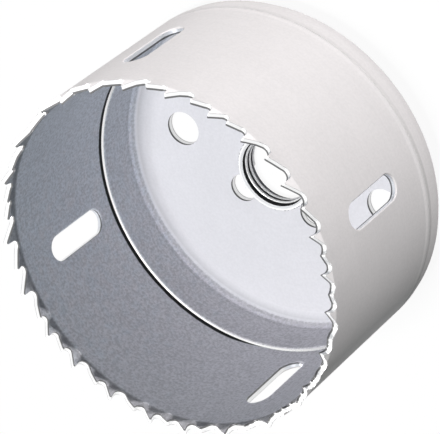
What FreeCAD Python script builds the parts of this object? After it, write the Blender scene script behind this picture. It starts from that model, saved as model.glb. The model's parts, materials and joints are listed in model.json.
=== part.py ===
import FreeCAD, Part

import math
import os

from FreeCAD import Vector

# A hole saw for 78 mm of body, as two pieces of steel that are welded together: a toothed
# rim rolled from strip, and a pressed end cap that carries the tapped hole for the arbor.
# Millimetres. The axis is Z. The origin is the middle of the cap's flat back, the teeth point
# up, and the saw cuts as it turns from +X towards +Y.

os.makedirs("parts", exist_ok=True)

# Driving dimensions: the whole saw
body_diameter = 78.0
overall_height = 48.8

# The strip of the rim
strip_thickness = 1.3
shoulder_height = 9.0

# The teeth: a group of pitches, C coarse and F fine, that is repeated along the strip
pitch_group = "CCCCFFFCFCFFFF"
fine_pitch = 4.233
coarse_pitch = 6.0
fine_gullet_depth = 1.8
coarse_gullet_depth = 2.6
fine_gullet_radius = 1.0
coarse_gullet_radius = 1.4
rake_angle = 4.0
tip_land = 0.3
tooth_set = 0.5
bend_share_of_depth = 0.85
first_tip_angle = -14.8

# The slots in the rim that let chips out and a lever in
slot_count = 4
slot_width = 5.7
slot_length = 18.1
slot_mouth_chamfer = 0.3
slot_middle_height = 28.0
first_slot_angle = 5.7

# The pressed end cap, whose two bent corners are each a run of short cones
base_thickness = 1.6
back_corner_radius = 6.2
inner_corner_radius = 2.7
corner_facets = 5
shoulder_edge_chamfer = 0.4
skirt_thickness = 0.8
skirt_height = 4.8
skirt_edge_chamfer = 0.15

# The drawn collar round the tapped hole, bored to the thread's major diameter
thread_diameter = 15.875
thread_chamfer = 0.4
collar_wall = 0.9625
collar_height = 3.3
collar_edge_chamfer = 0.2
collar_foot_chamfer = 0.5

# The holes for the arbor's drive pins
pin_hole_count = 4
pin_hole_diameter = 6.3
metal_inside_pin_hole = 1.1125
first_pin_angle = 23.5

# The two large holes for pushing out the sawn plug
large_hole_count = 2
large_hole_diameter = 7.8
large_circle_diameter = 49.4
first_large_angle = -22.0

# How far a cutting shape runs past the faces that it cuts
cut_margin = 1.5

# Sizes that follow from them
body_radius = body_diameter / 2
rim_inner_radius = body_radius - strip_thickness
skirt_inner_radius = rim_inner_radius - skirt_thickness
skirt_top = shoulder_height + skirt_height
deepest_gullet = max(fine_gullet_depth, coarse_gullet_depth)
tooth_root_height = overall_height - deepest_gullet - strip_thickness / 2
slot_half_straight = (slot_length - slot_width) / 2
thread_radius = thread_diameter / 2
collar_radius = thread_radius + collar_wall
collar_top = base_thickness + collar_height
pin_circle_diameter = thread_diameter + 2 * metal_inside_pin_hole + pin_hole_diameter


def round_about_z(length, angle):
    """The point at this radius and angle in degrees, at height zero."""
    turn = math.radians(angle)
    return Vector(length * math.cos(turn), length * math.sin(turn), 0)


def line(start, end):
    return Part.LineSegment(start, end).toShape()


def arc(start, middle, end):
    return Part.Arc(start, middle, end).toShape()


def tooth_gaps():
    """The angle of each tooth's tip and the width in degrees of the gap after it."""
    fine_angle = math.degrees(fine_pitch / body_radius)
    coarse_angle = math.degrees(coarse_pitch / body_radius)
    letters = ""
    reached = 0
    # The strip is cut off where the ring closes, wherever its group of pitches then stands.
    while reached < 360 - fine_angle / 2:
        letter = pitch_group[len(letters) % len(pitch_group)]
        letters += letter
        reached += fine_angle if letter == "F" else coarse_angle
    # The coarse pitch gives way a little, so that the last gap ends at the first tip.
    coarse_angle = (360 - letters.count("F") * fine_angle) / letters.count("C")
    gaps = []
    tip = first_tip_angle
    for letter in letters:
        width = fine_angle if letter == "F" else coarse_angle
        gaps.append((letter, tip, width))
        tip += width
    return gaps


class Gullet:
    """The space between two teeth: a raked face, a round bottom and a long straight back.

    Across it runs s, from zero at the first tip, and down it runs h, from zero at the tips.
    """

    def __init__(self, letter, tip, width):
        self.middle_angle = tip + width / 2
        middle_radius = (body_radius + rim_inner_radius) / 2
        self.span = 2 * middle_radius * math.sin(math.radians(width / 2))
        self.depth = fine_gullet_depth if letter == "F" else coarse_gullet_depth
        self.radius = fine_gullet_radius if letter == "F" else coarse_gullet_radius
        rake = math.radians(rake_angle)
        self.centre_h = self.radius - self.depth
        self.centre_s = (self.radius + self.centre_h * math.sin(rake)) / math.cos(rake)
        self.bottom_angle = tip + width * self.centre_s / self.span

    def place(self, s, h):
        """The point of the outline in space, on the inner side of the strip."""
        outward = round_about_z(1, self.middle_angle)
        along = round_about_z(1, self.middle_angle + 90)
        start = rim_inner_radius - tooth_set - cut_margin
        point = outward * start + along * (s - self.span / 2)
        point.z = overall_height + h
        return point

    def on_bottom(self, angle):
        """The point of the round bottom at this angle, in degrees from the +s side."""
        turn = math.radians(angle)
        s = self.centre_s + self.radius * math.cos(turn)
        h = self.centre_h + self.radius * math.sin(turn)
        return self.place(s, h)

    def cutter(self):
        """The gullet as a solid that runs through the strip, set teeth included."""
        back_end = self.span - tip_land
        face_angle = 180 - rake_angle
        reach = math.hypot(back_end - self.centre_s, self.centre_h)
        rise = math.degrees(math.atan2(-self.centre_h, back_end - self.centre_s))
        back_angle = 360 + rise - math.degrees(math.acos(self.radius / reach))
        face_top = self.place(0, 0)
        back_top = self.place(back_end, 0)
        face_foot = self.on_bottom(face_angle)
        bottom = self.on_bottom((face_angle + back_angle) / 2)
        back_foot = self.on_bottom(back_angle)
        above_face = self.place(0, cut_margin)
        above_back = self.place(back_end, cut_margin)
        outline = Part.Wire([
            line(above_face, face_top),
            line(face_top, face_foot),
            arc(face_foot, bottom, back_foot),
            line(back_foot, back_top),
            line(back_top, above_back),
            line(above_back, above_face),
        ])
        depth = strip_thickness + 2 * tooth_set + 2 * cut_margin
        return Part.Face(outline).extrude(round_about_z(depth, self.middle_angle))


def tooth_block(before, after, lean):
    """The stretch of strip that one tooth is milled from, its upper part leant by its set."""
    bend = overall_height - bend_share_of_depth * min(before.depth, after.depth)
    section = [
        (rim_inner_radius, tooth_root_height),
        (body_radius, tooth_root_height),
        (body_radius, bend),
        (body_radius + lean, overall_height),
        (rim_inner_radius + lean, overall_height),
        (rim_inner_radius, bend),
    ]
    if lean == 0:
        section = [section[0], section[1], section[3], section[4]]
    corners = [Vector(radius, 0, height) for radius, height in section]
    face = Part.Face(Part.makePolygon(corners + corners[:1]))
    start = before.bottom_angle
    turn = (after.bottom_angle - start) % 360
    face.rotate(Vector(0, 0, 0), Vector(0, 0, 1), start)
    return face.revolve(Vector(0, 0, 0), Vector(0, 0, 1), turn)


def slot_cutter(angle):
    """A slot with round ends, punched through the strip and standing along the axis."""
    outward = round_about_z(1, angle)
    along = round_about_z(slot_width / 2, angle + 90)
    centre = outward * (rim_inner_radius - cut_margin) + Vector(0, 0, slot_middle_height)
    up = Vector(0, 0, slot_half_straight)
    end = Vector(0, 0, slot_length / 2)
    outline = Part.Wire([
        line(centre + along - up, centre + along + up),
        arc(centre + along + up, centre + end, centre - along + up),
        line(centre - along + up, centre - along - up),
        arc(centre - along - up, centre - end, centre + along - up),
    ])
    return Part.Face(outline).extrude(outward * (strip_thickness + 2 * cut_margin))


def slot_mouth_cutters(angle):
    """The slot's eased outer edge: a cone at each round end, and a wedge between them."""
    run = slot_mouth_chamfer + cut_margin
    narrow_radius = slot_width / 2
    wide_radius = narrow_radius + run
    outward = round_about_z(1, angle)
    sideways = round_about_z(1, angle + 90)
    throat = outward * (body_radius - slot_mouth_chamfer) + Vector(0, 0, slot_middle_height)
    mouth = throat + outward * run
    up = Vector(0, 0, slot_half_straight)
    section = Part.makePolygon([
        throat - sideways * narrow_radius - up,
        throat + sideways * narrow_radius - up,
        mouth + sideways * wide_radius - up,
        mouth - sideways * wide_radius - up,
        throat - sideways * narrow_radius - up,
    ])
    wedge = Part.Face(section).extrude(up * 2)
    upper = Part.makeCone(narrow_radius, wide_radius, run, throat + up, outward)
    lower = Part.makeCone(narrow_radius, wide_radius, run, throat - up, outward)
    return [wedge, upper, lower]


def make_rim():
    """The toothed strip, rolled into a ring that stands on the cap's shoulder."""
    height = tooth_root_height - shoulder_height
    foot = Vector(0, 0, shoulder_height)
    ring = Part.makeCylinder(body_radius, height, foot)
    ring = ring.cut(Part.makeCylinder(rim_inner_radius, height, foot))
    gullets = [Gullet(*gap) for gap in tooth_gaps()]
    lean_cycle = (-tooth_set, tooth_set)
    blocks = []
    for number, after in enumerate(gullets):
        before = gullets[number - 1]
        lean = lean_cycle[number % len(lean_cycle)]
        blocks.append(tooth_block(before, after, lean))
    strip = ring.fuse(blocks).removeSplitter()
    cutters = [gullet.cutter() for gullet in gullets]
    for number in range(slot_count):
        angle = first_slot_angle + 360 / slot_count * number
        cutters.append(slot_cutter(angle))
        cutters.extend(slot_mouth_cutters(angle))
    return strip.cut(cutters)


def in_section(radius, height):
    """A point of the cap's section, in the plane of X and Z."""
    return Vector(radius, 0, height)


def round_corner(wall_radius, floor_height, radius):
    """Points on the bend from a floor out and up to a wall, on a quarter circle."""
    points = []
    for step in range(corner_facets + 1):
        turn = math.radians(90 * step / corner_facets)
        inward = radius * (1 - math.sin(turn))
        rise = radius * (1 - math.cos(turn))
        points.append(in_section(wall_radius - inward, floor_height + rise))
    return points


def cap_section():
    """Half of the cap's section as a face: up the outside, then down the inside to the bore."""
    outside = round_corner(body_radius, 0, back_corner_radius) + [
        in_section(body_radius, shoulder_height - shoulder_edge_chamfer),
        in_section(body_radius - shoulder_edge_chamfer, shoulder_height),
        in_section(rim_inner_radius, shoulder_height),
        in_section(rim_inner_radius, skirt_top),
    ]
    inner_corner = round_corner(skirt_inner_radius, base_thickness, inner_corner_radius)
    inside = [
        in_section(skirt_inner_radius + skirt_edge_chamfer, skirt_top),
        in_section(skirt_inner_radius, skirt_top - skirt_edge_chamfer),
    ] + inner_corner[::-1]
    collar = [
        in_section(collar_radius + collar_foot_chamfer, base_thickness),
        in_section(collar_radius, base_thickness + collar_foot_chamfer),
        in_section(collar_radius, collar_top - collar_edge_chamfer),
        in_section(collar_radius - collar_edge_chamfer, collar_top),
        in_section(thread_radius + thread_chamfer, collar_top),
        in_section(thread_radius, collar_top - thread_chamfer),
        in_section(thread_radius, thread_chamfer),
        in_section(thread_radius + thread_chamfer, 0),
    ]
    outline = outside + inside + collar
    return Part.Face(Part.makePolygon(outline + outline[:1]))


def hole_ring(count, hole_diameter, circle_diameter, first_angle):
    """Round cutters on a circle, through the cap's base."""
    height = collar_top + 2 * cut_margin
    cutters = []
    for number in range(count):
        centre = round_about_z(circle_diameter / 2, first_angle + 360 / count * number)
        centre.z = -cut_margin
        cutters.append(Part.makeCylinder(hole_diameter / 2, height, centre))
    return cutters


def make_end_cap():
    """The pressed cup: base, rounded corner, shoulder, skirt, and collar for the thread."""
    cap = cap_section().revolve(Vector(0, 0, 0), Vector(0, 0, 1), 360)
    pins = hole_ring(pin_hole_count, pin_hole_diameter, pin_circle_diameter, first_pin_angle)
    large = hole_ring(large_hole_count, large_hole_diameter, large_circle_diameter, first_large_angle)
    return cap.cut(pins + large)


def save(shape, name):
    """Write one piece and say what it measures."""
    solid = shape.Solids[0]
    solid.exportStep("parts/" + name + ".step")
    box = solid.BoundBox
    print(name, "solids", len(shape.Solids), "valid", solid.isValid(), "faces", len(solid.Faces))
    print("  volume", round(solid.Volume, 1), "z", round(box.ZMin, 3), "to", round(box.ZMax, 3))


save(make_rim(), "rim")
save(make_end_cap(), "end_cap")
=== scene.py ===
# %% [markdown]
# # A hole saw for 78 mm holes
#
# A hole saw is a steel cup with a toothed rim. It is made from two pieces: a strip that is
# milled with teeth, rolled and welded into a ring, and a pressed end cap with a tapped hole.
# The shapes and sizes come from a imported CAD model. This script gives the saw its paint, its
# bare steel, its thread and its weld marks, and then sets up the light and the camera.

# %% Load the frame
import math

import bpy
from mathutils import Matrix, Vector
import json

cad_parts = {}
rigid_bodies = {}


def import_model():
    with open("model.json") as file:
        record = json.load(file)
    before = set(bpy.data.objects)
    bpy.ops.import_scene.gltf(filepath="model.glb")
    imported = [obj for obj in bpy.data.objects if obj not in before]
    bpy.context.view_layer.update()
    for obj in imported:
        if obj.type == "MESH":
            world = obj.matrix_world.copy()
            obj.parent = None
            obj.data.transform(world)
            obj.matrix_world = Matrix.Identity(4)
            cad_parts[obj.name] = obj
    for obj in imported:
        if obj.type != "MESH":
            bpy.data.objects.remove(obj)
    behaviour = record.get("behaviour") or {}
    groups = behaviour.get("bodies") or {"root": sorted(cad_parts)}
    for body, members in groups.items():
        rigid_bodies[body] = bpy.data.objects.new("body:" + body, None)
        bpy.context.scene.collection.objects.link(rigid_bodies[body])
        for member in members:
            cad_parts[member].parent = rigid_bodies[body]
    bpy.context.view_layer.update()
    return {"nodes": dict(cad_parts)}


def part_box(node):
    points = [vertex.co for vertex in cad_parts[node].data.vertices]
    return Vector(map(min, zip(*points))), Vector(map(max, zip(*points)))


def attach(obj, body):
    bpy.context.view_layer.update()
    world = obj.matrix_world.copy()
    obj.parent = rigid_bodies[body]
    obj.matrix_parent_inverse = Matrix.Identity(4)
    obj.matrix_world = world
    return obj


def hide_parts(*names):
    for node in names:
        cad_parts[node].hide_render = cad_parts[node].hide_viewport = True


for left_over in list(bpy.data.objects):
    bpy.data.objects.remove(left_over)
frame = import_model()
rim = frame["nodes"]["rim"]
end_cap = frame["nodes"]["end_cap"]

# %% [markdown]
# Every size is in metres, as Blender has it. What the frame can tell is read from it: the
# height of the shoulder is where the rim begins, and the end cap's top is the skirt's edge.
# The sizes that no box can tell are written out in millimetres and scaled once.

# %% Sizes of the saw
MM = 0.001
body_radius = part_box("end_cap")[1].x
saw_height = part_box("rim")[1].z
shoulder_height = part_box("rim")[0].z
skirt_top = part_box("end_cap")[1].z
strip_thickness = 1.3 * MM
skirt_thickness = 0.8 * MM
base_thickness = 1.6 * MM
back_corner_radius = 6.2 * MM
inner_corner_radius = 2.7 * MM
collar_height = 3.3 * MM
collar_radius = 8.9 * MM
thread_radius = 15.875 / 2 * MM
rim_inner_radius = body_radius - strip_thickness
skirt_inner_radius = rim_inner_radius - skirt_thickness
collar_top = base_thickness + collar_height
print("body", round(body_radius * 2000, 2), "mm wide,", round(saw_height * 1000, 2), "mm high")

# %% [markdown]
# The photograph is taken with a long lens from beyond the open end. The saw lies tilted in the
# picture, but here it stands on its back, so the camera is the thing that rolls. Its place was
# found by fitting the round edges of the saw to their ellipses in the picture. It is given by
# the way it looks, in plan and downwards, and by its roll about that line.

# %% Camera
camera_place = Vector((-0.32526, -0.19488, 0.44472))
look_azimuth = math.radians(30.94)
look_down = math.radians(47.79)
camera_roll = math.radians(-128.99)
camera_lens = 225.25

level_right = Vector((math.sin(look_azimuth), -math.cos(look_azimuth), 0))
forward = Vector((
    math.cos(look_azimuth) * math.cos(look_down),
    math.sin(look_azimuth) * math.cos(look_down),
    -math.sin(look_down),
))
level_up = level_right.cross(forward)
right = level_right * math.cos(camera_roll) + level_up * math.sin(camera_roll)
up = forward.cross(right) * -1

camera_data = bpy.data.cameras.new("camera")
camera_data.lens = camera_lens
camera_data.sensor_width = 36
camera_data.clip_start = 0.01
camera_data.clip_end = 20
camera = bpy.data.objects.new("camera", camera_data)
axes = Matrix((right, up, -forward)).transposed()
camera.matrix_world = Matrix.Translation(camera_place) @ axes.to_4x4()
bpy.context.scene.collection.objects.link(camera)
bpy.context.scene.camera = camera
print("camera", round((camera_place - Vector((0, 0, saw_height / 2))).length, 3), "m from the saw")

# %% [markdown]
# A material is a small graph. A few helpers keep the graphs short to write: one adds a node and
# fills its inputs, with plain values or with other nodes' outputs, and the rest do arithmetic.

# %% Node helpers
def add_node(tree, kind, inputs=(), **settings):
    """Add a node, set its properties, and fill its inputs by name or number."""
    node = tree.nodes.new(kind)
    for name, value in settings.items():
        setattr(node, name, value)
    for name, value in dict(inputs).items():
        if isinstance(value, bpy.types.NodeSocket):
            tree.links.new(value, node.inputs[name])
        else:
            node.inputs[name].default_value = value
    return node


def calculate(tree, operation, first, second=0.0, third=0.0):
    """One step of arithmetic on two or three numbers."""
    node = add_node(tree, "ShaderNodeMath", {0: first, 1: second, 2: third}, operation=operation)
    return node.outputs[0]


def between(tree, value, start, end, low=0.0, high=1.0):
    """A smooth step: low where the value is at start, high where it is at end."""
    inputs = {"Value": value, "From Min": start, "From Max": end, "To Min": low, "To Max": high}
    node = add_node(tree, "ShaderNodeMapRange", inputs, interpolation_type="SMOOTHSTEP")
    return node.outputs["Result"]


def band(tree, value, start, end, soft):
    """One between start and end, falling off to zero over the soft distance on each side."""
    rises = between(tree, value, start - soft, start)
    falls = between(tree, value, end, end + soft, 1.0, 0.0)
    return calculate(tree, "MULTIPLY", rises, falls)


def blend_colours(tree, share, first, second):
    """The first colour where share is 0, the second where it is 1."""
    node = add_node(tree, "ShaderNodeMix", data_type="RGBA")
    for name, value in (("Factor", share), ("A", first), ("B", second)):
        socket = [item for item in node.inputs if item.name == name and item.enabled][0]
        if isinstance(value, bpy.types.NodeSocket):
            tree.links.new(value, socket)
        else:
            socket.default_value = value
    return [item for item in node.outputs if item.enabled][0]


def noise(tree, place, scale, detail=2.0, roughness=0.5):
    """Smooth random values from 0 to 1."""
    inputs = {"Vector": place, "Scale": scale, "Detail": detail, "Roughness": roughness}
    return add_node(tree, "ShaderNodeTexNoise", inputs).outputs["Fac"]


def scale_colour(tree, colour, factor):
    """A colour made darker or lighter by one factor."""
    if not isinstance(colour, bpy.types.NodeSocket):
        colour = colour[:3]
    inputs = {0: colour, "Scale": factor}
    return add_node(tree, "ShaderNodeVectorMath", inputs, operation="SCALE").outputs[0]


def shade(tree, colour, amount, strength):
    """Darken a colour by up to this strength where the amount is low."""
    return scale_colour(tree, colour, between(tree, amount, 0.25, 0.75, 1.0 - strength, 1.0))


print("node helpers are ready")

# %% [markdown]
# Nearly every mark on a turned or rolled thing follows its axis: rolling lines run round it,
# dirt collects at one height, and the inside is another radius than the outside. So one helper
# turns a place on the saw into its distance from the axis, its height and its turn. It also
# tells how much a face looks away from the axis, and how much it looks up, which together find
# the cut faces. The same numbers, laid out as a flat map, stretch a noise into rolling lines.

# %% Round coordinates
line_scale = 1400.0


def round_places(tree):
    """Place, radius, height, turn and facing for a point of the saw."""
    place = add_node(tree, "ShaderNodeTexCoord").outputs["Object"]
    parts = add_node(tree, "ShaderNodeSeparateXYZ", {0: place}).outputs
    flat = add_node(tree, "ShaderNodeCombineXYZ", {0: parts[0], 1: parts[1]}).outputs[0]
    radius = add_node(tree, "ShaderNodeVectorMath", {0: flat}, operation="LENGTH").outputs["Value"]
    turn = calculate(tree, "ARCTAN2", parts[1], parts[0])
    normal = add_node(tree, "ShaderNodeNewGeometry").outputs["Normal"]
    away = add_node(tree, "ShaderNodeVectorMath", {0: flat}, operation="NORMALIZE").outputs[0]
    facing = add_node(tree, "ShaderNodeVectorMath", {0: normal, 1: away}, operation="DOT_PRODUCT")
    rising = add_node(tree, "ShaderNodeSeparateXYZ", {0: normal}).outputs[2]
    return {
        "place": place,
        "radius": radius,
        "height": parts[2],
        "turn": turn,
        "outward": facing.outputs["Value"],
        "rising": rising,
    }


def rolling_lines(tree, spots, stretch):
    """Fine lines that run round the wall, as a rolled or turned surface has."""
    round_the_wall = calculate(tree, "MULTIPLY", spots["turn"], body_radius / stretch)
    inputs = {0: round_the_wall, 1: spots["height"], 2: spots["radius"]}
    unrolled = add_node(tree, "ShaderNodeCombineXYZ", inputs).outputs[0]
    return noise(tree, unrolled, line_scale, detail=3.0)


print("round coordinates are ready")

# %% [markdown]
# The paint is a thin sprayed coat in a pale grey. A flat colour would do from far off, but a
# real coat is never one colour: it is a little thicker here and thinner there, it has a fine
# grain like orange peel, and the wall inside the cup, which the spray hardly reaches, is cooler
# and darker. That cooler, darker colour inside is also painted shade, for the shade that falls
# in the cup. Outside, each step changes the colour by a few hundredths only. Inside, the grain
# is coarse enough to see. The gloss is weak, so the white room doesn't wash out the side that
# lies away from the lamps.

# %% The coat of paint
outer_paint = (0.885, 0.84, 0.845, 1)
# Both inner colours are darker than the outer paint, partly as painted shade of the cup's inside.
inner_paint_and_shade = (0.645, 0.675, 0.735, 1)
inner_paint_warm_and_shade = (0.69, 0.675, 0.715, 1)
base_paint = (0.68, 0.675, 0.705, 1)
bare_steel_colour = (0.93, 0.93, 0.93, 1)
# The colour of the dark lines, and of the painted shade on holes and thread.
dark_line_and_shade_colour = (0.02, 0.02, 0.022, 1)
paint_gloss = 0.06
smoothest_paint = 0.48
roughest_paint = 0.58
inner_grain = 0.34
outer_grain = 0.05
line_shade = 0.02
cloud_shade = 0.04
wall_stretch = 30.0
cloud_scale = 60.0
grain_scale = 1700.0
stain_scale = 420.0
stain_weight = 2.6
warm_from = math.radians(40)
warm_to = math.radians(140)


def start_material(name):
    """A new material, its graph, its shader, and the round coordinates in it."""
    material = bpy.data.materials.new(name)
    material.use_nodes = True
    tree = material.node_tree
    return material, tree, tree.nodes["Principled BSDF"], round_places(tree)


def sprayed(tree, spots, colour, strength):
    """The colour with clouds, rolling lines and grain, and the lines and grain by themselves."""
    lines = rolling_lines(tree, spots, wall_stretch)
    grain = noise(tree, spots["place"], grain_scale, detail=2.0, roughness=0.6)
    clouds = noise(tree, spots["place"], cloud_scale, detail=3.0)
    colour = shade(tree, colour, lines, line_shade)
    colour = shade(tree, colour, clouds, cloud_shade)
    half = calculate(tree, "MULTIPLY", strength, 0.5)
    lowest = calculate(tree, "SUBTRACT", 1.0, half)
    highest = calculate(tree, "ADD", 1.0, half)
    speckle = between(tree, grain, 0.28, 0.72, lowest, highest)
    return scale_colour(tree, colour, speckle), lines, grain


def inner_coat_and_shade(tree, spots):
    """The coat inside, darker than outside partly as painted shade: cool on one side, warmer on the
    other, with small stains.
    """
    stains = noise(tree, spots["place"], stain_scale, detail=3.0, roughness=0.6)
    turned = calculate(tree, "MULTIPLY_ADD", stains, stain_weight, spots["turn"])
    warm = between(tree, turned, warm_from, warm_to)
    return blend_colours(tree, warm, inner_paint_and_shade, inner_paint_warm_and_shade)


def matt_coat(tree, lines):
    """The coat's roughness, which follows the rolling lines."""
    return between(tree, lines, 0.2, 0.8, smoothest_paint, roughest_paint)


print("paint inside", inner_paint_and_shade[:3], "outside", outer_paint[:3])

# %% [markdown]
# The rim and the cap are welded together round the shoulder. Painted over, the weld is hardly a
# shape any more: a low swell, with a band of painted shade below it and a painted highlight on
# it, as light from above would fall on the swell. Both are strongest on one side of the saw and
# faint on the other. It could be modelled, but it is a quarter of a millimetre high and lies on
# both pieces, so it is bump and tone that both materials share.

# %% The weld round the shoulder
weld_fullest_turn = math.radians(120)
weld_at_its_faintest = 0.30
# Painted shade below the weld's swell and a painted highlight on it.
weld_painted_shade = -0.18
weld_painted_highlight = 0.11
weld_rise = 0.25 * MM
weld_half_width = 1.2 * MM
fine_relief = 0.004 * MM


def weld_strength(tree, spots):
    """How strongly the weld shows: fullest round one turn of the saw, faint on the other side."""
    from_start = calculate(tree, "SUBTRACT", spots["turn"], weld_fullest_turn)
    near_start = calculate(tree, "COSINE", from_start)
    return between(tree, near_start, 0.0, 0.75, weld_at_its_faintest, 1.0)


def weld_tone(tree, spots):
    """The coat round the weld: painted shade below it, and a painted highlight on it."""
    height = spots["height"]
    darkened = band(tree, height, shoulder_height - 1.0 * MM, shoulder_height - 0.5 * MM, 0.25 * MM)
    light = band(tree, height, shoulder_height + 0.5 * MM, shoulder_height + 1.2 * MM, 0.30 * MM)
    change = calculate(tree, "MULTIPLY", light, weld_painted_highlight)
    change = calculate(tree, "MULTIPLY_ADD", darkened, weld_painted_shade, change)
    change = calculate(tree, "MULTIPLY", change, weld_strength(tree, spots))
    return calculate(tree, "ADD", 1.0, change)


def weld_swell(tree, spots):
    """The low rounded swell of the weld between rim and cap, as a height in metres."""
    middle = shoulder_height + 0.1 * MM
    upper_end = middle + 1.4 * weld_half_width
    rise = between(tree, spots["height"], middle - weld_half_width, middle)
    fall = between(tree, spots["height"], middle, upper_end, 1.0, 0.0)
    outside = between(tree, spots["radius"], body_radius - 0.4 * MM, body_radius - 0.2 * MM)
    bead = calculate(tree, "MULTIPLY", calculate(tree, "MULTIPLY", rise, fall), outside)
    bead = calculate(tree, "MULTIPLY", bead, weld_strength(tree, spots))
    return calculate(tree, "MULTIPLY", bead, weld_rise)


def lay_relief(tree, shader, spots, lines, grain):
    """Bump for the weld's swell, and on it the coat's fine unevenness."""
    fine = calculate(tree, "MULTIPLY_ADD", lines, 0.6, calculate(tree, "MULTIPLY", grain, 0.4))
    height = calculate(tree, "MULTIPLY_ADD", fine, fine_relief, weld_swell(tree, spots))
    bump = add_node(tree, "ShaderNodeBump", {"Height": height, "Strength": 1.0, "Distance": 1.0})
    tree.links.new(bump.outputs[0], shader.inputs["Normal"])


print("the weld rises", round(weld_rise * 1000, 2), "mm at", round(shoulder_height * 1000, 1), "mm")

# %% [markdown]
# The cut faces of the teeth and slots are bare steel, with a dark line along their inner edge
# and, near the teeth, a fainter one along their outer edge. A shader can't tell how far a point
# is from such an edge, but a mesh can carry the answer. The cut faces run straight through the
# strip, so it is enough to mark each corner of the mesh: 0 on the inner wall and 1 on the outer
# wall. Blender fills in the faces between. A copy of the rim carries the mark and stands for the
# CAD node, with the same shape to the last point.

# %% Rim that knows its walls
inner_wall_facing = -0.85
outer_wall_facing = 0.5


def is_wall(face, side):
    """Whether a face belongs to the inner wall (side -1) or to the outer wall (side 1)."""
    away = Vector((face.center.x, face.center.y, 0)).normalized()
    facing = face.normal.dot(away)
    return facing < inner_wall_facing if side < 0 else facing > outer_wall_facing


def grid_place(point):
    """A point's place in steps of a micrometre, which is the same for all points that touch."""
    return tuple(round(value / (0.001 * MM)) for value in point)


def mark_walls(source, name):
    """A copy of the rim with a number on each point: 0 on the inner wall, 1 on the outer."""
    mesh = source.data.copy()
    marks = {}
    for face in mesh.polygons:
        for side, mark in ((-1, 0.0), (1, 1.0)):
            if is_wall(face, side):
                for index in face.vertices:
                    marks[grid_place(mesh.vertices[index].co)] = mark
    middle = (body_radius + rim_inner_radius) / 2
    through = mesh.attributes.new("through", "FLOAT", "POINT")
    unmarked = 0
    for point in mesh.vertices:
        mark = marks.get(grid_place(point.co))
        if mark is None:
            mark = 1.0 if math.hypot(point.co.x, point.co.y) > middle else 0.0
            unmarked += 1
        through.data[point.index].value = mark
    piece = bpy.data.objects.new(name, mesh)
    bpy.context.scene.collection.objects.link(piece)
    return piece, unmarked


rim_piece, unmarked_points = mark_walls(rim, "rim_finish")
print(len(rim_piece.data.vertices), "points,", unmarked_points, "of them marked by radius alone")

# %% [markdown]
# Making the rim left marks on it, and its inside also carries painted light and shade. The
# inner wall is painted lighter towards the mouth, and the teeth inside are painted darker, as
# painted shade. A thin black line runs just above the skirt's edge. It has a crisp lower edge
# and a ragged upper one, and it dies out on one side of the saw. On the cut faces run the dark
# lines along the edges, and the lower end of each slot is duller than its sides, as the
# photograph shows it. Each mark gets a function of its own, so that the paint itself stays short.

# %% Marks on the rim
# A dark line on the inner wall just above the skirt's edge, crisp below and ragged above.
skirt_line_height = 0.90 * MM
skirt_line_middle = math.radians(-10)
skirt_line_ends = -0.06
skirt_line_full = 0.30
skirt_line_raggedness = 0.25 * MM
# Painted light: the inner wall is lighter towards the mouth.
tone_at_skirt = 1.10
tone_at_mouth = 1.22
# Painted shade: the inner faces of the teeth are darkened from this height up.
teeth_shade_from = 45.3 * MM
teeth_shade_tone = 0.42
slot_end_colour = (0.75, 0.765, 0.81, 1)
below_the_teeth = 38 * MM
outer_line_from = 40 * MM
inner_line_share = 0.34
inner_line_strength = 0.85
outer_line_share = 0.90
outer_line_strength = 0.40


def inner_light_and_shade(tree, spots):
    """The inner wall's painted light and shade: lighter towards the mouth, and painted shade on the
    teeth.
    """
    height = spots["height"]
    near_mouth = between(tree, height, skirt_top, saw_height, tone_at_skirt, tone_at_mouth)
    teeth_shade = between(tree, height, teeth_shade_from, teeth_shade_from + 1 * MM, 1.0, teeth_shade_tone)
    return calculate(tree, "MULTIPLY", near_mouth, teeth_shade)


def dark_line_above_skirt(tree, spots):
    """One on the black line above the skirt's edge, zero elsewhere."""
    off_middle = calculate(tree, "SUBTRACT", spots["turn"], skirt_line_middle)
    side = calculate(tree, "COSINE", off_middle)
    gone = skirt_top - 0.3 * MM
    full = skirt_top + skirt_line_height
    top = between(tree, side, skirt_line_ends, skirt_line_full, gone, full)
    ragged = noise(tree, spots["place"], stain_scale)
    top = calculate(tree, "MULTIPLY_ADD", ragged, skirt_line_raggedness, top)
    above = calculate(tree, "SUBTRACT", spots["height"], top)
    return between(tree, above, -0.10 * MM, 0.10 * MM, 1.0, 0.0)


def ground_steel(tree, spots, through):
    """The colour of the cut faces with their dark edges, and where a slot's dull end is."""
    low_down = between(tree, spots["height"], below_the_teeth, below_the_teeth + 1 * MM, 1.0, 0.0)
    slot_end = calculate(tree, "MULTIPLY", low_down, between(tree, spots["rising"], 0.3, 0.8))
    colour = blend_colours(tree, slot_end, bare_steel_colour, slot_end_colour)
    inner_from, inner_to = inner_line_share - 0.06, inner_line_share + 0.04
    inner_line = between(tree, through, inner_from, inner_to, inner_line_strength, 0.0)
    outer_from, outer_to = outer_line_share - 0.03, outer_line_share + 0.03
    outer_line = between(tree, through, outer_from, outer_to, 0.0, outer_line_strength)
    near_teeth = between(tree, spots["height"], outer_line_from, outer_line_from + 2 * MM)
    outer_line = calculate(tree, "MULTIPLY", outer_line, near_teeth)
    edge = calculate(tree, "MAXIMUM", inner_line, outer_line)
    return blend_colours(tree, edge, colour, dark_line_and_shade_colour), slot_end


print("burnt line up to", round(skirt_line_height * 1000, 2), "mm high, teeth darker from",
      round(teeth_shade_from * 1000, 1), "mm")

# %% [markdown]
# The rim's paint is the outer coat on one wall and the inner coat on the other, and the mark on
# the mesh decides between them. Steel takes the place of both on the faces that look neither
# outward nor inward. It is all one material, because the strip is one piece of steel and the
# mark already tells its walls apart.

# %% Paint for the rim
metal_of_cut_face = 0.85
metal_lost_at_slot_end = 0.5
smoother_where_cut = 0.14


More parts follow.
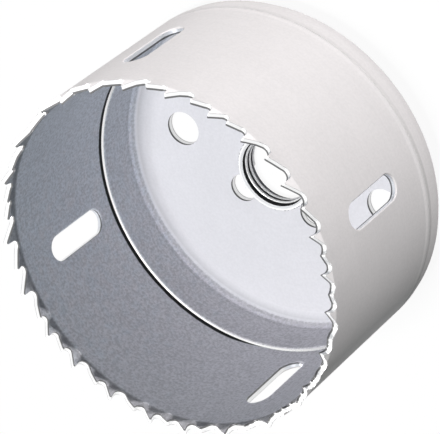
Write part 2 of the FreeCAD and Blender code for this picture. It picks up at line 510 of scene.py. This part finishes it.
def rim_paint():
    """Pale paint outside, thinner, cooler and darker inside, partly as painted shade, bare steel on
    every cut face.
    """
    material, tree, shader, spots = start_material("painted_strip_finish")
    through = add_node(tree, "ShaderNodeAttribute", attribute_name="through").outputs["Fac"]
    outside = between(tree, through, 0.4, 0.6)
    inside_colour = scale_colour(tree, inner_coat_and_shade(tree, spots), inner_light_and_shade(tree, spots))
    outside_colour = scale_colour(tree, outer_paint, weld_tone(tree, spots))
    colour = blend_colours(tree, outside, inside_colour, outside_colour)
    grain_strength = between(tree, through, 0.4, 0.6, inner_grain, outer_grain)
    colour, lines, grain = sprayed(tree, spots, colour, grain_strength)
    inside = calculate(tree, "SUBTRACT", 1.0, outside)
    darkened = calculate(tree, "MULTIPLY", dark_line_above_skirt(tree, spots), inside)
    colour = blend_colours(tree, darkened, colour, dark_line_and_shade_colour)

    across = calculate(tree, "ABSOLUTE", spots["outward"])
    cut_face = between(tree, across, 0.45, 0.6, 1.0, 0.0)
    steel, slot_end = ground_steel(tree, spots, through)
    colour = blend_colours(tree, cut_face, colour, steel)
    metal = calculate(tree, "MULTIPLY", cut_face, metal_of_cut_face)
    metal = calculate(tree, "MULTIPLY_ADD", slot_end, -metal_lost_at_slot_end, metal)
    polish = calculate(tree, "MULTIPLY_ADD", cut_face, -smoother_where_cut, matt_coat(tree, lines))
    tree.links.new(colour, shader.inputs["Base Color"])
    tree.links.new(metal, shader.inputs["Metallic"])
    tree.links.new(polish, shader.inputs["Roughness"])
    shader.inputs["Specular IOR Level"].default_value = paint_gloss
    lay_relief(tree, shader, spots, lines, grain)
    return material


painted_strip = rim_paint()
rim_piece.data.materials.clear()
rim_piece.data.materials.append(painted_strip)
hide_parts("rim")
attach(rim_piece, "root")
print("rim paint has", len(painted_strip.node_tree.nodes), "nodes")

# %% [markdown]
# The end cap is pressed from one sheet and gets the same spray. Up its inner bend, the coat is
# given painted light and shade: two light bands, as the curve catches the light, with a darker
# crease between them, and a fine line where the bend meets the wall. They are tones that depend
# on the height alone, so a short colour ramp holds them.

# %% Painted light and shade of the inner bend
# Each pair is a height on the bend, as a share of its radius, and the tone of the coat there, which
# paints the bend's light and shade.
bend_light_and_shade = (
    (0.00, 1.03),
    (0.06, 1.06),
    (0.14, 1.06),
    (0.24, 1.06),
    (0.32, 1.30),
    (0.40, 1.30),
    (0.50, 1.00),
    (0.62, 1.00),
    (0.80, 1.33),
    (0.98, 1.35),
    (1.12, 1.05),
    (1.26, 0.90),
    (1.45, 1.00),
)
ramp_top = bend_light_and_shade[-1][0]
strongest_tone = max(tone for height, tone in bend_light_and_shade)


def painted_bend_light_and_shade(tree, spots):
    """The painted light and shade up the inner bend, and 1 everywhere else."""
    rise = calculate(tree, "SUBTRACT", spots["height"], base_thickness)
    share = calculate(tree, "DIVIDE", rise, inner_corner_radius * ramp_top)
    ramp = add_node(tree, "ShaderNodeValToRGB", {"Fac": share})
    stops = ramp.color_ramp.elements
    for number, (height, tone) in enumerate(bend_light_and_shade):
        stop = stops[number] if number < 2 else stops.new(1.0)
        stop.position = height / ramp_top
        stop.color = (tone / strongest_tone,) * 3 + (1,)
    tone = calculate(tree, "MULTIPLY", ramp.outputs["Color"], strongest_tone)
    bend_start = skirt_inner_radius - inner_corner_radius
    on_bend = between(tree, spots["radius"], bend_start, bend_start + 0.3 * MM)
    looks_inward = between(tree, spots["outward"], 0.0, -0.05)
    on_bend = calculate(tree, "MULTIPLY", on_bend, looks_inward)
    elsewhere = calculate(tree, "SUBTRACT", 1.0, on_bend)
    return calculate(tree, "MULTIPLY_ADD", tone, on_bend, elsewhere)


print("the bend has", len(bend_light_and_shade), "tones, from", min(tone for height, tone in bend_light_and_shade),
      "to", strongest_tone)

# %% [markdown]
# Bare steel shows where the cap was cut after painting: the skirt's edge, the walls of the
# holes, and the face of the collar round the tapped hole. A punch leaves a shiny wall, which
# gets painted shade along its top and a dark line at its foot, and a tap leaves a rough rim,
# with painted shade in the thread's grooves. None of these faces has a mesh of its own, but
# each has its own span of radius and height. Those spans find them, together with the way that
# a face looks.

# %% Bare steel, dark lines and painted shade of the end cap
farthest_hole = 30 * MM
metal_of_hole_wall = 0.7
metal_of_mouth = 0.1
# Painted shade along the top of each hole's wall, and the strength of the dark line at its foot.
upper_shade_strength = 0.92
lower_line_strength = 0.55


def upright_faces(tree, spots):
    """One on faces that stand upright, zero on flat ones."""
    level = calculate(tree, "ABSOLUTE", spots["rising"])
    return between(tree, level, 0.3, 0.5, 1.0, 0.0)


def at_collar_top(tree, spots):
    """One on the collar's upper face and its chamfers."""
    return between(tree, spots["height"], collar_top - 0.45 * MM, collar_top - 0.42 * MM)


def bare_faces(tree, spots):
    """Where the skirt's edge, the holes' walls and the collar's mouth are."""
    radius, height = spots["radius"], spots["height"]
    bright_from = skirt_inner_radius + 0.22 * MM
    skirt_edge = between(tree, height, skirt_top - 0.06 * MM, skirt_top - 0.02 * MM)
    bright_part = between(tree, radius, bright_from, bright_from + 0.06 * MM)
    skirt_edge = calculate(tree, "MULTIPLY", skirt_edge, bright_part)
    below = base_thickness + 0.01 * MM
    in_base = between(tree, height, below, below + 0.01 * MM, 1.0, 0.0)
    among_holes = band(tree, radius, collar_radius + 0.08 * MM, farthest_hole, 0.02 * MM)
    hole_wall = calculate(tree, "MULTIPLY", upright_faces(tree, spots), in_base)
    hole_wall = calculate(tree, "MULTIPLY", hole_wall, among_holes)
    near_bore = between(tree, radius, collar_radius - 0.12 * MM, collar_radius - 0.06 * MM, 1.0, 0.0)
    mouth = calculate(tree, "MULTIPLY", near_bore, at_collar_top(tree, spots))
    return skirt_edge, hole_wall, mouth


def hole_wall_shade_and_lines(tree, spots, hole_wall):
    """Painted shade at the top of a punched hole's wall, and a dark line at its foot."""
    height = spots["height"]
    upper_from, upper_to = base_thickness - 0.65 * MM, base_thickness - 0.4 * MM
    upper = between(tree, height, upper_from, upper_to, 0.0, upper_shade_strength)
    lower = between(tree, height, 0.10 * MM, 0.30 * MM, lower_line_strength, 0.0)
    return calculate(tree, "MULTIPLY", calculate(tree, "MAXIMUM", upper, lower), hole_wall)


def thread_shade_and_rough_rim(tree, spots):
    """Painted shade at the bottom of the thread's grooves, and the dotted rough rim round its mouth.
    """
    radius, height = spots["radius"], spots["height"]
    # Painted shade in the thread's grooves on the bore wall, weaker deeper down.
    in_bore = between(tree, radius, thread_radius + 0.02 * MM, thread_radius + 0.08 * MM, 1.0, 0.0)
    depth = between(tree, height, collar_top - 3.2 * MM, collar_top - 1.9 * MM, 0.45, 1.0)
    groove_shade = calculate(tree, "MULTIPLY", in_bore, upright_faces(tree, spots))
    groove_shade = calculate(tree, "MULTIPLY", groove_shade, depth)
    around = add_node(tree, "ShaderNodeCombineXYZ", {0: spots["turn"]}).outputs[0]
    dots = between(tree, noise(tree, around, 14.0, detail=0.0), 0.48, 0.56)
    rim_from, rim_to = collar_radius - 0.12 * MM, collar_radius + 0.03 * MM
    rough_rim = calculate(tree, "MULTIPLY", band(tree, radius, rim_from, rim_to, 0.03 * MM), dots)
    rough_rim = calculate(tree, "MULTIPLY", rough_rim, at_collar_top(tree, spots))
    return calculate(tree, "MAXIMUM", groove_shade, rough_rim)


def cut_faces_of_cap(tree, spots):
    """Where the cap is bare, where dark lines and painted shade run over it, and how metallic it is.
    """
    skirt_edge, hole_wall, mouth = bare_faces(tree, spots)
    bare = calculate(tree, "MAXIMUM", calculate(tree, "MAXIMUM", skirt_edge, hole_wall), mouth)
    # This mask holds painted shade on the hole walls and in the thread's grooves, plus the walls'
    # foot line and the mouth's rough rim.
    dark = calculate(tree, "MAXIMUM", hole_wall_shade_and_lines(tree, spots, hole_wall), thread_shade_and_rough_rim(tree, spots))
    wall_metal = calculate(tree, "MULTIPLY", hole_wall, metal_of_hole_wall)
    mouth_metal = calculate(tree, "MULTIPLY", mouth, metal_of_mouth)
    metal = calculate(tree, "MAXIMUM", wall_metal, mouth_metal)
    return bare, dark, calculate(tree, "MAXIMUM", skirt_edge, metal)


print("holes are looked for up to", round(farthest_hole * 1000), "mm from the axis")

# %% [markdown]
# The cap's own coat has three tones: one for the base, a cooler and darker one for the wall
# inside the skirt, which is partly painted shade, and the lightest for the outside. Radius alone
# can't tell the skirt's two sides apart, so the way a face looks decides between them.

# %% Paint for the end cap
smoother_where_bare = 0.28


def cap_coat(tree, spots):
    """The coat's colour before the grain, and how strong the grain is."""
    wall_start = skirt_inner_radius - 0.9 * MM
    inner_wall = between(tree, spots["radius"], wall_start, skirt_inner_radius - 0.1 * MM)
    looks_inward = between(tree, spots["outward"], -0.1, -0.3)
    inner_wall = calculate(tree, "MULTIPLY", inner_wall, looks_inward)
    colour = blend_colours(tree, inner_wall, base_paint, inner_coat_and_shade(tree, spots))
    beyond_holes = between(tree, spots["radius"], farthest_hole, farthest_hole + 2 * MM)
    looks_outward = between(tree, spots["outward"], 0.02, 0.10)
    outside = calculate(tree, "MULTIPLY", beyond_holes, looks_outward)
    looks_down = between(tree, spots["rising"], -0.5, -0.9)
    outside = calculate(tree, "MAXIMUM", outside, looks_down)
    outside_colour = scale_colour(tree, outer_paint, weld_tone(tree, spots))
    colour = blend_colours(tree, outside, colour, outside_colour)
    colour = scale_colour(tree, colour, painted_bend_light_and_shade(tree, spots))
    return colour, between(tree, inner_wall, 0.0, 1.0, outer_grain, inner_grain)


def cap_paint():
    """Pale paint on the pressed sheet, cooler inside, with painted light and shade inside and bare
    steel where it was cut.
    """
    material, tree, shader, spots = start_material("painted_cap_finish")
    colour, grain_strength = cap_coat(tree, spots)
    colour, lines, grain = sprayed(tree, spots, colour, grain_strength)
    bare, dark, metal = cut_faces_of_cap(tree, spots)
    colour = blend_colours(tree, bare, colour, bare_steel_colour)
    colour = blend_colours(tree, dark, colour, dark_line_and_shade_colour)
    polish = calculate(tree, "MULTIPLY_ADD", metal, -smoother_where_bare, matt_coat(tree, lines))
    tree.links.new(colour, shader.inputs["Base Color"])
    tree.links.new(metal, shader.inputs["Metallic"])
    tree.links.new(polish, shader.inputs["Roughness"])
    shader.inputs["Specular IOR Level"].default_value = paint_gloss
    lay_relief(tree, shader, spots, lines, grain)
    return material


painted_cap = cap_paint()
print("cap paint has", len(painted_cap.node_tree.nodes), "nodes")

# %% [markdown]
# The cap's two bends are runs of short cones in the CAD model, which keeps it light but shows
# as bands in a shiny coat. A mesh can carry a normal for each corner of each face, so a copy of
# the cap gets the normals of the true bend there. The skirt's edge, which is rolled over a
# little towards the inside, gets its normals in the same way, and every other face keeps the
# ones that it came with. The copy stands for the CAD node, with the same shape to the last point.

# %% End cap with smooth bends
outer_bend = (body_radius - back_corner_radius, back_corner_radius, 1)
inner_bend = (skirt_inner_radius - inner_corner_radius, base_thickness + inner_corner_radius, -1)
roll_over = math.radians(32)
slack = 0.02 * MM


def bend_of(face):
    """The bend that a face lies on: the radius and height of its middle, and its side."""
    slope = abs(face.normal.z)
    radius = math.hypot(face.center.x, face.center.y)
    if slope < 0.02 or slope > 0.998:
        return None
    if face.normal.z < 0 and radius > outer_bend[0] and face.center.z < outer_bend[1]:
        return outer_bend
    if face.normal.z > 0 and radius > inner_bend[0] and face.center.z < inner_bend[1] + slack:
        return inner_bend
    return None


def normal_on_bend(point, bend):
    """The way the true round bend looks at a point."""
    middle_radius, middle_height, side = bend
    reach = math.hypot(point.x, point.y)
    share = (reach - middle_radius) / reach
    away = Vector((point.x * share, point.y * share, point.z - middle_height))
    return away.normalized() * side


def normal_on_edge(point):
    """The way the skirt's rolled edge looks at a point: up, and leaning inward."""
    inward = Vector((-point.x, -point.y, 0)).normalized()
    return inward * math.sin(roll_over) + Vector((0, 0, math.cos(roll_over)))


def smooth_bends(source, name):
    """A copy of the cap whose bends are shaded as true quarter circles."""
    mesh = source.data.copy()
    normals = [Vector(corner.vector) for corner in mesh.corner_normals]
    bent = 0
    for face in mesh.polygons:
        bend = bend_of(face)
        on_edge = abs(face.normal.z) > 0.998 and face.center.z > skirt_top - slack
        for loop in face.loop_indices:
            point = mesh.vertices[mesh.loops[loop].vertex_index].co
            if on_edge:
                normals[loop] = normal_on_edge(point)
            elif bend:
                normals[loop] = normal_on_bend(point, bend)
        if bend:
            bent += 1
    mesh.normals_split_custom_set(normals)
    piece = bpy.data.objects.new(name, mesh)
    bpy.context.scene.collection.objects.link(piece)
    return piece, bent


cap_piece, bent_faces = smooth_bends(end_cap, "end_cap_finish")
cap_piece.data.materials.clear()
cap_piece.data.materials.append(painted_cap)
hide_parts("end_cap")
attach(cap_piece, "root")
print(bent_faces, "faces of the bends have true normals")

# %% [markdown]
# The thread is freshly cut. Its crests are bright, and its grooves are darkened with painted
# shade. It follows a path, so Geometry Nodes make it: a helix for the path and a trapezoid for
# the ridge, swept along it. The pitch is that of an 18-per-inch thread, and the ridge starts and
# ends inside the bore, clear of both chamfers.

# %% Steel of the thread
thread_stretch = 12.0
metal_of_thread = 0.6
smoothest_steel = 0.25
roughest_steel = 0.4


def bare_steel():
    """Cut steel with fine tool lines, and painted shade that darkens it towards the foot of the
    ridge.
    """
    material, tree, shader, spots = start_material("bare_steel_finish")
    lines = rolling_lines(tree, spots, thread_stretch)
    # Painted shade: the ridge darkens towards its foot, where it meets the bore wall.
    foot_from, foot_to = thread_radius - 0.3 * MM, thread_radius - 0.08 * MM
    foot = between(tree, spots["radius"], foot_from, foot_to, 0.0, 0.9)
    colour = blend_colours(tree, foot, bare_steel_colour, dark_line_and_shade_colour)
    polish = between(tree, lines, 0.2, 0.8, smoothest_steel, roughest_steel)
    tree.links.new(shade(tree, colour, lines, 0.08), shader.inputs["Base Color"])
    shader.inputs["Metallic"].default_value = metal_of_thread
    tree.links.new(polish, shader.inputs["Roughness"])
    return material


bare_steel_finish = bare_steel()
print("steel of the thread has", len(bare_steel_finish.node_tree.nodes), "nodes")

# %% [markdown]
# The ridge's group has one input for each size, so the same group makes any thread. The sweep
# puts the ridge's profile across the helix. The profile is drawn lying down, and a quarter turn
# points its narrow side at the axis.

# %% Group that sweeps a thread
steps_per_turn = 64
ridge_turn = math.radians(90)


def add_socket(tree, name, kind, direction="INPUT"):
    """A named socket on the group's border."""
    return tree.interface.new_socket(name=name, in_out=direction, socket_type=kind)


def helix_path(tree, sizes):
    """A helix whose circle runs through the middle of the ridge's depth."""
    turns = calculate(tree, "DIVIDE", sizes["Length"], sizes["Pitch"])
    path_radius = calculate(tree, "MULTIPLY_ADD", sizes["Depth"], -0.5, sizes["Bore radius"])
    helix = add_node(tree, "GeometryNodeCurveSpiral", {
        "Resolution": steps_per_turn,
        "Rotations": turns,
        "Start Radius": path_radius,
        "End Radius": path_radius,
        "Height": sizes["Length"],
    })
    rise = add_node(tree, "ShaderNodeCombineXYZ", {2: sizes["Start"]})
    upright = add_node(tree, "GeometryNodeSetCurveNormal", {"Curve": helix.outputs[0]}, mode="Z_UP")
    return add_node(tree, "GeometryNodeTransform", {
        "Geometry": upright.outputs[0],
        "Translation": rise.outputs[0],
    })


def ridge_profile(tree, sizes):
    """The ridge's section, a trapezoid with its narrow side towards the axis."""
    ridge = add_node(tree, "GeometryNodeCurvePrimitiveQuadrilateral", mode="TRAPEZOID")
    for name, size in (("Bottom Width", "Foot"), ("Top Width", "Crest"), ("Height", "Depth")):
        tree.links.new(sizes[size], ridge.inputs[name])
    ridge.inputs["Offset"].default_value = 0
    return add_node(tree, "GeometryNodeTransform", {
        "Geometry": ridge.outputs[0],
        "Rotation": (0, 0, ridge_turn),
    })


def thread_tree(material):
    """A group that sweeps a ridge with sloping sides along a helix."""
    tree = bpy.data.node_groups.new("thread_ridge", "GeometryNodeTree")
    for name in ("Bore radius", "Depth", "Foot", "Crest", "Pitch", "Start", "Length"):
        add_socket(tree, name, "NodeSocketFloat")
    add_socket(tree, "Geometry", "NodeSocketGeometry", "OUTPUT")
    sizes = add_node(tree, "NodeGroupInput").outputs
    swept = add_node(tree, "GeometryNodeCurveToMesh", {
        "Curve": helix_path(tree, sizes).outputs[0],
        "Profile Curve": ridge_profile(tree, sizes).outputs[0],
        "Fill Caps": True,
    })
    real = add_node(tree, "GeometryNodeRealizeInstances", {0: swept.outputs[0]})
    painted = add_node(tree, "GeometryNodeSetMaterial", {
        "Geometry": real.outputs[0],
        "Material": material,
    })
    result = add_node(tree, "NodeGroupOutput")
    tree.links.new(painted.outputs[0], result.inputs[0])
    return tree


thread_group = thread_tree(bare_steel_finish)
print("thread group has", len(thread_group.nodes), "nodes")

# %% [markdown]
# The group is run once, on an empty mesh, and what it makes is kept as a plain mesh. A plain
# mesh can be measured like every other piece, and the seed can go. The ridge is about a third
# lower than a full thread, and its crest is a quarter as wide as its foot.

# %% Thread
thread_pitch = 25.4 / 18 * MM
thread_depth = 0.5 * MM
thread_foot = 0.62 * MM
thread_crest = 0.16 * MM
thread_start = 0.75 * MM
thread_end = collar_top - 0.75 * MM


def grow(tree, name, sizes):
    """Run a Geometry Nodes group once, and keep what it makes as a plain mesh."""
    seed = bpy.data.objects.new(name + "_seed", bpy.data.meshes.new(name + "_seed"))
    bpy.context.scene.collection.objects.link(seed)
    modifier = seed.modifiers.new("grow", "NODES")
    modifier.node_group = tree
    for item in tree.interface.items_tree:
        if item.in_out == "INPUT" and item.name in sizes:
            modifier[item.identifier] = sizes[item.name]
    bpy.context.view_layer.update()
    grown = seed.evaluated_get(bpy.context.evaluated_depsgraph_get())
    mesh = bpy.data.meshes.new_from_object(grown)
    bpy.data.objects.remove(seed)
    piece = bpy.data.objects.new(name, mesh)
    bpy.context.scene.collection.objects.link(piece)
    return piece


thread = grow(thread_group, "thread_ridge", {
    "Bore radius": thread_radius,
    "Depth": thread_depth,
    "Foot": thread_foot,
    "Crest": thread_crest,
    "Pitch": thread_pitch,
    "Start": thread_start,
    "Length": thread_end - thread_start,
})
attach(thread, "root")
reaches = [math.hypot(point.co.x, point.co.y) for point in thread.data.vertices]
print("thread has", len(thread.data.polygons), "faces, radius", round(min(reaches) * 1000, 2),
      "to", round(max(reaches) * 1000, 2), "mm")

# %% [markdown]
# The floor and the world are white to the camera and to reflections only, so the saw stands on
# clean white and its bare steel is bright. The light that they send on to the paint stays low,
# and the world's is a little green, as the photograph's shadows are. The floor is a mix of white
# light and pale board, and it is the board that takes the saw's soft shadow.

# %% Floor and world
floor_half = 4.0
floor_gap = 0.2 * MM
board_share = 0.07
dull_floor = 0.12
ambient = 0.17
ambient_colour = (0.88, 1.0, 0.98, 1)


def seen_share(tree):
    """One for the camera, reflections and what is seen through glass, zero for plain light."""
    path = add_node(tree, "ShaderNodeLightPath").outputs
    seen = calculate(tree, "MAXIMUM", path["Is Camera Ray"], path["Is Glossy Ray"])
    return calculate(tree, "MAXIMUM", seen, path["Is Transmission Ray"])


def floor_material():
    """Pale matt board: white where it is seen, dull for the light that it sends back."""
    material = bpy.data.materials.new("floor_finish")
    material.use_nodes = True
    tree = material.node_tree
    tree.nodes.remove(tree.nodes["Principled BSDF"])
    white = add_node(tree, "ShaderNodeEmission", {"Color": (1, 1, 1, 1), "Strength": 1.0}).outputs[0]
    board = add_node(tree, "ShaderNodeBsdfDiffuse", {"Color": (0.9, 0.9, 0.9, 1)}).outputs[0]
    dull = add_node(tree, "ShaderNodeBsdfDiffuse", {"Color": (dull_floor,) * 3 + (1,)}).outputs[0]
    shown = add_node(tree, "ShaderNodeMixShader", {0: board_share, 1: white, 2: board}).outputs[0]
    whole = add_node(tree, "ShaderNodeMixShader", {0: seen_share(tree), 1: dull, 2: shown}).outputs[0]
    tree.links.new(whole, tree.nodes["Material Output"].inputs["Surface"])
    return material


def lay_floor():
    """A wide square sheet just under the saw."""
    mesh = bpy.data.meshes.new("floor")
    corners = [(x * floor_half, y * floor_half, 0) for x, y in ((-1, -1), (1, -1), (1, 1), (-1, 1))]
    mesh.from_pydata(corners, [], [(0, 1, 2, 3)])
    sheet = bpy.data.objects.new("floor", mesh)
    sheet.location.z = -floor_gap
    bpy.context.scene.collection.objects.link(sheet)
    sheet.data.materials.append(floor_material())
    return sheet


def light_world():
    """White to the camera and to reflections, dim for everything else."""
    world = bpy.data.worlds.new("studio")
    world.use_nodes = True
    bpy.context.scene.world = world
    tree = world.node_tree
    seen = seen_share(tree)
    colour = blend_colours(tree, seen, ambient_colour, (1, 1, 1, 1))
    background = tree.nodes["Background"]
    tree.links.new(colour, background.inputs["Color"])
    tree.links.new(between(tree, seen, 0.0, 1.0, ambient, 1.0), background.inputs["Strength"])


floor = lay_floor()
light_world()
print("floor", floor_half * 2, "m wide, ambient light", ambient)

# %% [markdown]
# Four far lamps make the studio. One hangs over the open end and lights the base. The second
# stands at the camera's side and lights the outside of the wall. It is so low that the near rim
# keeps it off the wall inside, which therefore stays grey. Light that falls in through a near
# slot has to leave by a far one, or it would print a bright patch beside it. There are four
# slots, so it does that where a lamp stands halfway between two of them, as this one does, or
# straight before one, as the weak fill lamp does. The last lamp lights the side away from the
# camera.

# %% Lamps
first_slot_azimuth = 5.7


def soft_sun(name, azimuth, elevation, strength, spread):
    """A far lamp that shines from this side of the saw. Angles and spread are in degrees."""
    lamp_data = bpy.data.lights.new(name, "SUN")
    lamp_data.energy = strength * math.pi
    lamp_data.angle = math.radians(spread)
    lamp = bpy.data.objects.new(name, lamp_data)
    turn = math.radians(azimuth)
    rise = math.radians(elevation)
    level = math.cos(rise)
    towards = Vector((math.cos(turn) * level, math.sin(turn) * level, math.sin(rise)))
    lamp.rotation_mode = "QUATERNION"
    lamp.rotation_quaternion = towards.to_track_quat("Z", "Y")
    lamp.location = towards
    bpy.context.scene.collection.objects.link(lamp)
    return lamp


between_slots = first_slot_azimuth + 225
before_a_slot = first_slot_azimuth + 270
over_lamp = soft_sun("over_lamp", azimuth=300, elevation=88, strength=0.93, spread=12)
side_lamp = soft_sun("side_lamp", between_slots, elevation=0.45, strength=0.76, spread=0.8)
fill_lamp = soft_sun("fill_lamp", before_a_slot, elevation=0.45, strength=0.09, spread=0.8)
back_lamp = soft_sun("back_lamp", azimuth=33, elevation=4, strength=0.50, spread=10)
print("lamps", [lamp.name for lamp in (over_lamp, side_lamp, fill_lamp, back_lamp)])

# %% [markdown]
# Standard colour keeps the paint as it was written.

# %% Finish
bpy.context.scene.view_settings.view_transform = "Standard"
